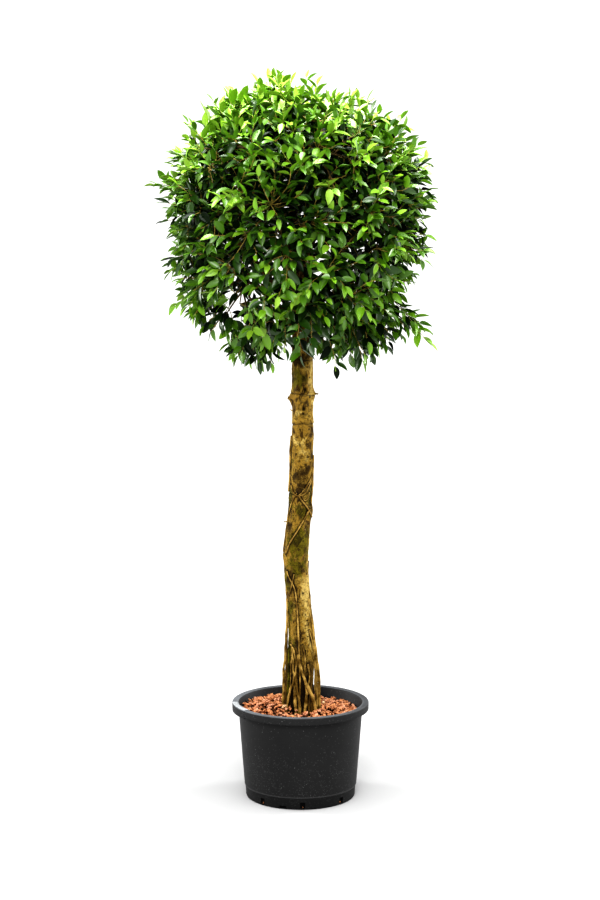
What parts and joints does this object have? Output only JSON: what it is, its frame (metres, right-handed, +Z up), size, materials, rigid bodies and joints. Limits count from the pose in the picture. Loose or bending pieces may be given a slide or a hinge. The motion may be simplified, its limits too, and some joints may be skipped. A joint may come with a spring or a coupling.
{
  "type": "standard lollipop topiary",
  "caption": "Potted standard topiary tree: a tall clear trunk on prop roots carries a clipped, rounded head of leafy twigs over a tapered plastic nursery pot filled with lava mulch.",
  "frame": {"origin": "centre of the pot's flat underside", "axes": "+Z up the plant; the side that faces the viewer in its usual view looks along -Y"},
  "size_m": [1.169, 1.131, 2.9741],
  "materials": {
    "pot_plastic": "matt charcoal plastic with a fine speckle",
    "potting_soil": "dark, loose, composted bark",
    "lava_chips": "rough terracotta-coloured chips",
    "bark": "tan bark with olive moss stains",
    "foliage": "leathery green leaves with a soft sheen"
  },
  "bodies": {
    "root": {"bough_lower_1": "bark", "bough_lower_2": "bark", "bough_lower_3": "bark", "bough_lower_4": "bark", "bough_lower_5": "bark", "bough_middle_1": "bark", "bough_middle_2": "bark", "bough_middle_3": "bark", "bough_middle_4": "bark", "bough_middle_5": "bark", "bough_upper_1": "bark", "bough_upper_2": "bark", "bough_upper_3": "bark", "bough_upper_4": "bark", "bough_upper_5": "bark", "foliage_lower_1": "foliage", "foliage_lower_2": "foliage", "foliage_lower_3": "foliage", "foliage_lower_4": "foliage", "foliage_lower_5": "foliage", "foliage_middle_1": "foliage", "foliage_middle_2": "foliage", "foliage_middle_3": "foliage", "foliage_middle_4": "foliage", "foliage_middle_5": "foliage", "foliage_top": "foliage", "foliage_upper_1": "foliage", "foliage_upper_2": "foliage", "foliage_upper_3": "foliage", "foliage_upper_4": "foliage", "foliage_upper_5": "foliage", "lava_mulch": "lava_chips", "leader": "bark", "pot": "pot_plastic", "potting_soil": "potting_soil", "trunk": "bark"}
  },
  "joints": []
}
